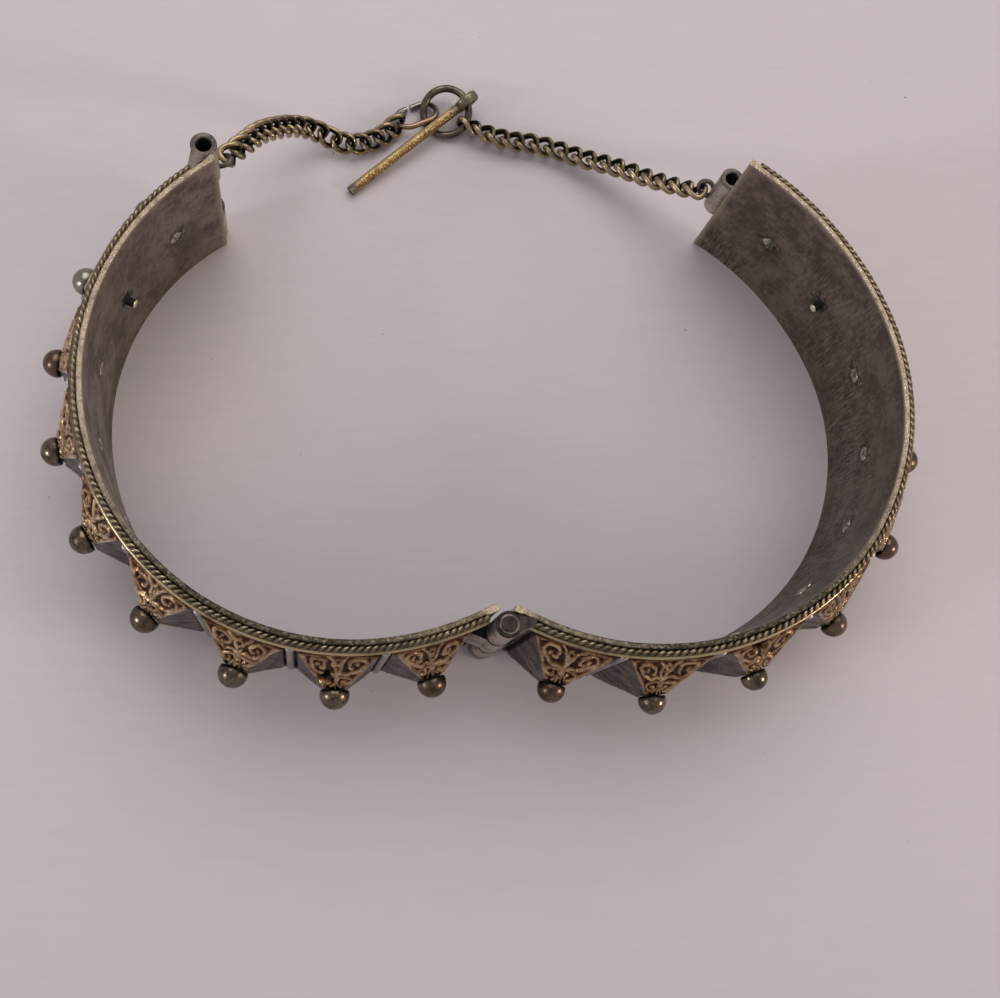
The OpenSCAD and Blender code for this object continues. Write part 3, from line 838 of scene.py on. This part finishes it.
def rise(across, up, half_widths, slope, lines, seed):
    """How high the scrolls stand at each point of a face, from 0 to 1."""
    x, y = across * half_widths, up * slope
    shift_x, shift_y = [speckle(x * 0.9, y * 0.7, seed + more) for more in (0.3, 50.3)]
    x, y = x + 0.22 * shift_x, y + 0.28 * shift_y
    height = np.zeros_like(x)
    swell = 1.05 + 0.6 * speckle(x * 1.6 * 0.9, y * 2.0 * 0.7, seed + 90.3)
    for points, width, peak in lines:
        widths = np.interp(points[:, 1], up[:, 0], half_widths[:, 0])
        line = np.stack([points[:, 0] * widths, points[:, 1] * slope], -1)
        for a, b in zip(line, line[1:]):
            span = b - a
            t = np.clip(((x - a[0]) * span[0] + (y - a[1]) * span[1]) / (span @ span), 0, 1)
            d = np.hypot(x - a[0] - t * span[0], y - a[1] - t * span[1])
            height = np.maximum(height, peak * np.clip(1 - (d / (width * swell)) ** 2, 0, 1))
    return height


# %% One pyramid
BROAD, NARROW = 0, 1
RELIEF, HOLE_DEPTH, PUFF = 0.4, 0.9, 0.08
BROAD_COLS, BROAD_ROWS, NARROW_COLS = 56, 72, 10
HOLES = {
    # (band, pyramid): (across, up, radius in mm) of a torn hole in the upper face
    ("left", 2): (0.50, 0.66, 0.75),
    ("right", 3): (-0.30, 0.12, 0.8),
}


def pyramid(band, i):
    """Pyramid i of a band, counted from 1, as rings of points from its foot to its top."""
    s = band["rivets"][i - 1]
    w = min(abs(s - other) for other in band["rivets"] if other != s) - BAR_W - 2 * BAR_AIR
    top, foot = BOSS_OUT + band["more"], PLATE_T + AIR
    bend = stand(band, s)[3] + PLATE_T
    slope = math.hypot((BOSS_H - BOSS_TOP) / 2, top - foot - BOSS_FOOT)
    x, up = np.meshgrid(np.linspace(-1, 1, BROAD_COLS), np.linspace(0, 1, BROAD_ROWS))
    half_w = w / 2 + (BOSS_TOP - w) / 2 * up
    half_h = BOSS_H / 2 + (BOSS_TOP - BOSS_H) / 2 * up
    level = foot + BOSS_FOOT + (top - foot - BOSS_FOOT) * up
    edge = np.clip((1 - np.abs(x)) * 12, 0, 1)
    fade = np.clip(up * 30, 0, 1) * np.clip((1 - up) * 14, 0, 1)
    # Painted shade: the top of each broad face, under the ball, is marked to be painted near black.
    soot = np.clip((up - 0.90) / 0.1, 0, 1)
    narrow = np.linspace(1, -1, NARROW_COLS + 2)[1:-1] + 0 * up[:, :1]
    puff = PUFF * (1 - narrow * narrow) * np.sin(math.pi * up[:, :1])
    spots, relief, holes_and_shade = [], [], []
    for side, seed in ((1, 10 * i), (-1, 10 * i + 5)):
        lines = scroll_lines(seed + (1000 if band is RIGHT else 0))
        high = rise(x, up, half_w, slope, lines, seed)
        grain = speckle(x * 5, up * 14, seed + 0.5)
        beads = speckle(x * 11, up * 21, seed + 7.5)
        high = np.clip(high + 0.12 * grain + 0.3 * np.clip(beads, 0, 1) * (1 - high), 0, 1.1) * fade
        torn = np.zeros_like(high)
        if side == 1 and (band["name"], i) in HOLES:
            hole_x, hole_up, hole_r = HOLES[band["name"], i]
            far = np.hypot((x - hole_x) * half_w, (up - hole_up) * slope * 0.55)
            torn = np.clip((hole_r * (1 + 0.5 * grain) - far) / 0.18 + 0.5, 0, 1)
        lift = RELIEF * high * (0.35 + 0.65 * edge) - HOLE_DEPTH * torn
        flank = [side * half_w[:, :1] + 0 * puff, level[:, :1] + puff, narrow * side * half_h[:, :1]]
        spots += [np.stack([x * half_w, level + lift, side * half_h], -1)[:, ::side], np.stack(flank, -1)]
        relief += [(high * (1 - torn))[:, ::side], 0 * puff]
        holes_and_shade += [np.maximum(torn, soot)[:, ::side], soot[:, :NARROW_COLS]]
    rings = np.concatenate(spots, 1)
    low = rings[:1] * (1, 0, 1)
    low[..., 1] = foot - (bend - np.sqrt(bend * bend - low[..., 0] ** 2))
    slots = ([BROAD] * (BROAD_COLS - 1) + [NARROW] * (NARROW_COLS + 1)) * 2 * BROAD_ROWS + [NARROW, NARROW]
    relief, torn = [np.pad(np.concatenate(each, 1), ((1, 0), (0, 0))) for each in (relief, holes_and_shade)]
    made = skin(np.concatenate([low, rings]), slots, relief=relief, torn=torn)
    return moved(made, lambda p: on_band(band, s, p + [0, 0, BAND_H / 2]))


# %% [markdown]
# The gilding is worn: the crests are pale gold, and the ground between them is red-brown. The torn holes
# and the top of each face, under the ball, are painted near black as painted shade. The narrow faces were
# never gilt, and show grey silver with strokes along the slope.

# %% Gilt and plain faces
gilt = Metal("chased gilt", (0.94, 0.74, 0.43), (0.25, 0.16, 0.085), 0.5, 800, 0.95, (0.30, 0.46), 1500, 0.05)
ground = gilt.cloud(gilt.place, 2400.0, 3.0)
grain = gilt.times(gilt.calc("SUBTRACT", ground, 0.5), 0.5)
rubbed = gilt.plus(gilt.attribute("relief"), grain)
crest = gilt.spread(rubbed, 0.3, 0.9, smooth=True)
soil = gilt.ramp(rubbed, (0.0, (0.026, 0.011, 0.005)), (0.2, (0.082, 0.034, 0.017)),
                 (0.5, (0.20, 0.105, 0.052)))
# Painted light and shade: the gilt on the far left keeps its bright gold, as if lit by the left window, and
# from there rightwards it is painted browner.
shade_rightwards = gilt.spread(gilt.split(gilt.place)["X"], -0.040, -0.014, 0.0, 0.55)
golden = gilt.blend(shade_rightwards, gilt.colour, (0.25, 0.155, 0.08))
gilding = gilt.blend(crest, soil, golden)
# Painted shade: the torn holes and the top of each face under the ball are painted near black.
gilt.paint(gilt.blend(gilt.attribute("torn"), gilding, (0.012, 0.010, 0.012)))
gilt.feed(gilt.shader["Roughness"], gilt.spread(crest, 0.0, 1.0, 0.48, 0.14))
gilt.feed(gilt.bumps, gilt.plus(gilt.height, gilt.times(ground, 1.8)))

slope = Metal("plain slope", (0.125, 0.093, 0.080), (0.040, 0.029, 0.029), 0.5, 420, 0.85, (0.32, 0.52),
              (320, 320, 3200), 0.16)
for band in BANDS:
    piece(band["name"] + "_pyramids", [pyramid(band, i) for i in NINE], [gilt, slope], sharp=55.0,
          replaces=nodes_of(band, "pyramid"))

# %% [markdown]
# ## Balls and rivets
# A rivet with a ball for a head holds each pyramid. The same ball stands on nine points of each band, so
# Geometry Nodes copy it there, each a little larger or smaller than the next.

# %% Ball metal and shape
ball = Metal("dark ball", (0.205, 0.158, 0.112), (0.038, 0.028, 0.022), 0.5, 560, 0.95, (0.18, 0.38), 900,
             0.04)
paler = ball.blend(ball.attribute("pale"), ball.colour, (0.30, 0.285, 0.235))
redder = ball.blend(ball.attribute("red"), paler, (0.14, 0.080, 0.055))
# Painted shade: the ball's flat back and neck, against the pyramid, are painted near black.
ball.paint(ball.blend(ball.times(ball.attribute("soot"), 0.92), redder, (0.010, 0.008, 0.006)))
# The ball's outline runs from the shank's inner end to the dome, with heights from the pyramid's flat top.
rim = math.sqrt(BALL_R ** 2 - BALL_CUT ** 2)
last = math.degrees(math.acos(-BALL_CUT / BALL_R))
outline = [(SHANK_R, -2.5), (SHANK_R, AIR), (NECK_R, AIR + 0.02), (NECK_R, 0.13), (rim - 0.12, 0.15),
           (rim - 0.03, 0.17)]
angles = np.radians(np.linspace(last - 4, 4, 22))
outline += [(BALL_R * math.sin(a), BALL_UP + BALL_R * math.cos(a)) for a in angles]


# %% Tree of copies on points
def copied(tree, pattern, rotation, scale=(1, 1, 1)):
    """A copy of the pattern on each of the points that the tree is given."""
    return tree.add("GeometryNodeInstanceOnPoints", {"Points": tree.given[0], "Instance": pattern,
                                                     "Rotation": rotation, "Scale": scale})


def arrow_of(tree, name):
    return tree.add("GeometryNodeInputNamedAttribute", {"Name": name}, data_type="FLOAT_VECTOR")


copies = Group("Copies on points", "GeometryNodeTree", {
    "Points": "Geometry", "Pattern": "Object", "Size spread": "Float", "Seed": "Int", "Metal": "Material",
}, {"Copies": "Geometry"})
_, pattern, size_spread, seed, *_ = copies.given
facing = copies.add("FunctionNodeAlignRotationToVector", {"Vector": arrow_of(copies, "out")}, axis="Z")
small = copies.calc("SUBTRACT", 1.0, size_spread)
scale = copies.add("FunctionNodeRandomValue", {2: small, 3: 1.0, "Seed": seed}, 1, data_type="FLOAT")
pattern = copies.add("GeometryNodeObjectInfo", {"Object": pattern}, "Geometry")
coated(copies, copied(copies, pattern, facing, scale))

# %% Balls on their points
ball_shell = lathed(outline, 36)
# The ball's lower part, its flat back against the pyramid, is marked for painted shade.
ball_shell["values"] = {"soot": np.clip((0.62 - ball_shell["points"][:, 2]) / 0.4, 0, 1)}
ball_pattern = new_object("ball_pattern", shells_mesh("ball_pattern", [ball_shell]))
for seed, band in enumerate(BANDS):
    top = BOSS_OUT + band["more"]
    left = band is LEFT
    pushed_in = [0.6 * (left and i == 9) for i in NINE]
    places = [on_band(band, s, (0, top - less, BAND_H / 2)) for s, less in zip(band["rivets"], pushed_in)]
    arrows = [stand(band, s)[2] for s in band["rivets"]]
    pale = [0.8 * (left and i == 8) for i in NINE]
    red = [0.7 if i == (7 if left else 5) else 0.25 * (i % 3 == 1) for i in NINE]
    tops = plain_mesh("rivet_tops", places, out=arrows, pale=pale, red=red)
    grown(band["name"] + "_balls", tops, copies, ball, {
        "Pattern": ball_pattern, "Size spread": 0.04, "Seed": seed}, nodes_of(band, "rivet"))
bpy.data.objects.remove(ball_pattern)

# %% [markdown]
# Inside the band each shank ends in a small hammered head with a rough edge. The eighth one on each side was
# left long and sticks out.

# %% Rivet ends
end = Metal("hammered end", (0.62, 0.555, 0.47), (0.075, 0.06, 0.05), 0.5, 1500, 0.9, (0.34, 0.5), 1500, 0.06)
cut = Metal("cut end", (0.88, 0.78, 0.56), (0.60, 0.50, 0.34), 0.4, 1500, 0.8, (0.4, 0.55), 3000)


def rivet_end(band, i):
    s = band["rivets"][i - 1]
    if i == LONG_AT:
        profile = [(SHANK_R + 0.35, 0.0), (SHANK_R + 0.2, 0.07), (SHANK_R, 0.12), (SHANK_R, LONG_TAIL - 0.08),
                   (SHANK_R - 0.07, LONG_TAIL), (0.05, LONG_TAIL + 0.01)]
        # The long pin's foot and side are painted near black as painted shadow, and its cut end is pale.
        slots = [2] * 60 + [1] * 40 + [2, 1]
    else:
        r = 1.15 if band is RIGHT and i == 4 else 0.85
        profile = [(r, -0.02), (r * 0.93, 0.06), (r * 0.6, 0.13), (r * 0.3, 0.17), (0.04, 0.18)]
        slots = 0
    one = lathed(profile, 20, slots)
    points = one["points"]
    rough = speckle(points[:, 0] * 2.8, points[:, 1] * 2.8, i + 7 * band["side"])[:, None]
    if i == LONG_AT:
        rough *= np.hypot(points[:, :1], points[:, 1:2]) > SHANK_R + 0.1
    points *= 1 + rough * (0.45, 0.45, 0.5)
    placed = np.stack([points[:, 0], -points[:, 2], points[:, 1] + BAND_H / 2], -1)
    return {**one, "points": on_band(band, s, placed)}


for band in BANDS:
    ends = [rivet_end(band, i) for i in NINE]
    piece(band["name"] + "_rivet_ends", ends, [end, cut, soot])

# %% [markdown]
# ## The safety chain
# Both strands are curb chain: every link is an oval with a twist. Geometry Nodes bend one link and copy it
# along the route from each clasp tube. A value on each point tells the material how far it is rubbed bright,
# and where it is low, in the inner creases, the link is darkened by dirt and by painted shade.

# %% Chain routes
LINKS, LINK_STEP, CHAIN_LIFT = 17, 0.8, 0.08
LEFT_ROUTE = [
    (-31.4, 54.5, 15.7), (-30.2, 56.3, 14.6), (-28.4, 59.6, 11.8), (-26.2, 62.5, 8.3), (-23.9, 64.6, 5.1),
    (-21.4, 65.3, 2.8), (-18.7, 64.9, 1.5), (-16, 65, 1.3), (-13.5, 66.2, 1.3), (-11.6, 68.1, 1.3),
]
RIGHT_ROUTE = [
    (26.3, 58, 8.7), (25, 58.7, 7.8), (22.8, 59.9, 6.5), (20.2, 61.5, 5), (17.6, 63, 3.8), (15, 64.2, 2.7),
    (12.6, 65.1, 2), (9.8, 66.2, 1.4), (6.6, 66.9, 1.3), (3.6, 67.1, 1.3), (0.6, 67.8, 1.35), (-2, 68.7, 1.6),
]
LEFT_ROLL = [(0, 60), (8, 30), (13, 24), (14, 30), (15, 38), (16, 48)]
RIGHT_ROLL = [(0, 35), (12, 5), (14, 18), (15, 32), (16, 48)]


def link_places(route, roll):
    """Each link's middle, the way it points and the way its flat side faces."""
    line = curve_through(route)
    run = np.concatenate([[0], np.cumsum(np.linalg.norm(np.diff(line, axis=0), axis=1))])

    def at(s):
        return np.array([np.interp(s, run, line[:, k]) for k in range(3)])

    places, along, up = [], [], []
    for i in range(LINKS):
        s = i * run[-1] / (LINKS - 1)
        way = at(s + LINK_STEP) - at(s - LINK_STEP)
        way /= np.linalg.norm(way)
        flat = np.array([0, 0, 1.0]) - way[2] * way
        flat /= np.linalg.norm(flat)
        angle = math.radians(np.interp(i, *zip(*roll)))
        places.append(at(s) + [*HINGE, CHAIN_LIFT])
        along.append(way)
        up.append(flat * math.cos(angle) + np.cross(way, flat) * math.sin(angle))
    return places, along, up


# %% Chain tree
chain = Group("Curb chain", "GeometryNodeTree", {
    "Points": "Geometry", "Half length": "Float", "Half width": "Float", "Twist": "Float",
    "Wire radius": "Float", "Metal": "Material"}, {"Chain": "Geometry"})
_, half_l, half_w, wind, wire_r, *_ = chain.given
circle = chain.add("GeometryNodeCurvePrimitiveCircle", {"Resolution": 36, "Radius": 1.0})
x, y, _ = chain.split(chain.add("GeometryNodeInputPosition"))
wound = chain.times(chain.times(x, y), chain.times(wind, 2.0))
bent = chain.add("ShaderNodeCombineXYZ", {0: chain.times(x, half_l), 1: chain.times(y, half_w), 2: wound})
oval = chain.add("GeometryNodeSetPosition", {"Geometry": circle, "Position": bent})
profile = chain.add("GeometryNodeCurvePrimitiveCircle", {"Resolution": 12, "Radius": wire_r})
link = chain.add("GeometryNodeCurveToMesh", {"Curve": oval, "Profile Curve": profile})
x, y, _ = chain.split(chain.add("GeometryNodeInputPosition"))
far_x = chain.calc("POWER", chain.calc("DIVIDE", x, chain.plus(half_l, wire_r)), 2.0)
far_y = chain.calc("POWER", chain.calc("DIVIDE", y, chain.plus(half_w, wire_r)), 2.0)
rubbed = chain.spread(chain.plus(far_x, far_y), 0.45, 1.0)
turn = chain.add("FunctionNodeAxesToRotation", {"Primary Axis": arrow_of(chain, "along"),
                                                "Secondary Axis": arrow_of(chain, "up")},
                 primary_axis="X", secondary_axis="Z")
coated(chain, copied(chain, kept(chain, link, "rubbed", rubbed), turn))

# %% The two strands
curb = Metal("curb chain", (0.31, 0.235, 0.14), (0.08, 0.056, 0.034), 0.5, 420, 0.95, (0.24, 0.42), 900, 0.02)
rubbed = curb.attribute("rubbed")
# The inner creases of each link are darkened, partly as dirt and partly as painted shade where the links hide
# each other.
creases_dirt_and_shade = curb.blend(curb.times(rubbed, 2.5, True), (0.020, 0.014, 0.009), curb.colour)
bright = curb.times(curb.calc("POWER", rubbed, 2.0), 0.7)
curb.paint(curb.blend(bright, creases_dirt_and_shade, (0.52, 0.42, 0.26)))
for name, route, roll in (("left_chain", LEFT_ROUTE, LEFT_ROLL), ("right_chain", RIGHT_ROUTE, RIGHT_ROLL)):
    places, along, up = link_places(route, roll)
    middles = plain_mesh("link_middles", places, along=along, up=up)
    grown(name + "_links", middles, chain, curb, {
        "Half length": 1.4 * MM, "Half width": 1.05 * MM, "Twist": 0.54 * MM, "Wire radius": 0.38 * MM,
    }, (name,))

# %% [markdown]
# ## Ring, open link and closing bar
# The ring is thick dark wire. The open link joins it to the left strand; its ends stand apart, and its near
# side is worn to a coppery colour. The closing bar is gilt, smooth above and hatched with fine cuts below.

# %% Ring
def leant(one, first, lean, turn, at):
    """A shell turned about its X or Y axis, then about Z, and put in its place."""
    return moved(one, lambda p: spin(spin(p, first, lean), "Z", turn) + at + HINGE_FOOT)


RING_R, RING_WIRE = 3.0, 0.96
ring = Metal("ring", (0.19, 0.15, 0.122), (0.075, 0.056, 0.044), 0.5, 300, 0.95, (0.2, 0.34), 900, 0.02)
ring_shell = wire(RING_R * around(72), RING_WIRE / 2, 20, True)
piece("ring_wire", [leant(ring_shell, "Y", -22, 60, (-5.03, 70.4, 1.66))], [ring], replaces=("ring",))

# %% Open link
open_link = Metal("open link", (0.27, 0.235, 0.205), (0.11, 0.09, 0.078), 0.45, 400, 0.95, (0.22, 0.36), 900,
                  0.02)
open_link.paint(open_link.blend(open_link.attribute("near"), open_link.colour, (0.29, 0.185, 0.13)))
OVAL_R, OVAL_L, OVAL_WIRE, OVAL_GAP = 1.7, 2.2, 0.74, (-0.6, -0.1)
half = OVAL_L / 2
bend = np.linspace(0, math.pi, 20)[1:]
oval_path = [(x, OVAL_R, 0) for x in np.linspace(OVAL_GAP[1], half, 8)]
oval_path += [(half + OVAL_R * math.sin(a), OVAL_R * math.cos(a), 0) for a in bend]
oval_path += [(x, -OVAL_R, 0) for x in np.linspace(half, -half, 12)[1:]]
oval_path += [(-half - OVAL_R * math.sin(a), -OVAL_R * math.cos(a), 0) for a in bend]
oval_path += [(x, OVAL_R, 0) for x in np.linspace(-half, OVAL_GAP[0], 5)[1:]]
oval = wire(oval_path, OVAL_WIRE / 2, 16)
oval["values"]["near"] = np.clip(-oval["points"][:, 1] / OVAL_R * 1.4 - 0.4, 0, 1)
piece("oval_link_wire", [leant(oval, "X", -22, 27, (-8.9, 69.85, 1.15))], [open_link],
      replaces=("oval_link",))

# %% Closing bar
gold = Metal("gilt bar", (0.62, 0.46, 0.21), (0.33, 0.22, 0.095), 0.42, 520, 0.95, (0.36, 0.52), 500)
cuts = gold.add("ShaderNodeTexVoronoi", {"Vector": gold.place, "Scale": 3600.0}, "Distance")
hatch = gold.times(cuts, gold.attribute("hatched"))
gold.feed(gold.bumps, gold.plus(gold.height, gold.times(hatch, 7.0)))
darker = gold.blend(gold.times(hatch, 1.5, True), gold.colour, (0.22, 0.13, 0.05))
gold.paint(gold.blend(gold.attribute("head"), darker, (0.20, 0.17, 0.12)))

ROD_R, ROD_FROM, ROD_L = 0.62, 1.2, 19.9
LOOP_R, LOOP_HALF, LOOP_ROUND, EYE_ROLL = 1.3, 0.27, 0.4, -13
rod_x = np.concatenate([[ROD_FROM - 0.3], np.linspace(ROD_FROM, ROD_L - 0.12, 70), [ROD_L - 0.04, ROD_L]])
rod_r = ROD_R * (1 - 0.04 * abs(speckle(rod_x / 1.5, 2.2 + 0 * rod_x, 9.1)))
rod_r[-2:] *= (0.93, 0.8)
rod = wire(np.stack([rod_x, 0 * rod_x, 0 * rod_x], -1), rod_r, 20)
x, y, _ = rod["points"].T
rod["values"]["hatched"] = np.clip(y / ROD_R * 1.5 + 0.4, 0, 1)
rod["values"]["head"] = np.maximum(np.clip(2.6 - x / 1.2, 0, 1), np.clip((x - ROD_L + 1.5) / 0.5, 0, 1))
corner = np.radians(np.linspace(0, 360, 24, endpoint=False))
flat = [math.copysign(LOOP_HALF, math.sin(a) + 1e-9) for a in corner]
loop = [(LOOP_R + LOOP_ROUND * math.cos(a), LOOP_ROUND * math.sin(a) + half) for a, half in zip(corner, flat)]
eye = turned(loop, 48)
eye["points"] = spin(eye["points"], "X", EYE_ROLL + 90)
eye["values"]["head"] = np.ones(len(eye["points"]))
piece("closing_bar_gilt", [leant(one, "Y", 5.6, 221.4, (-2.45, 71.6, 2.6)) for one in (rod, eye)], [gold],
      replaces=("closing_bar",))
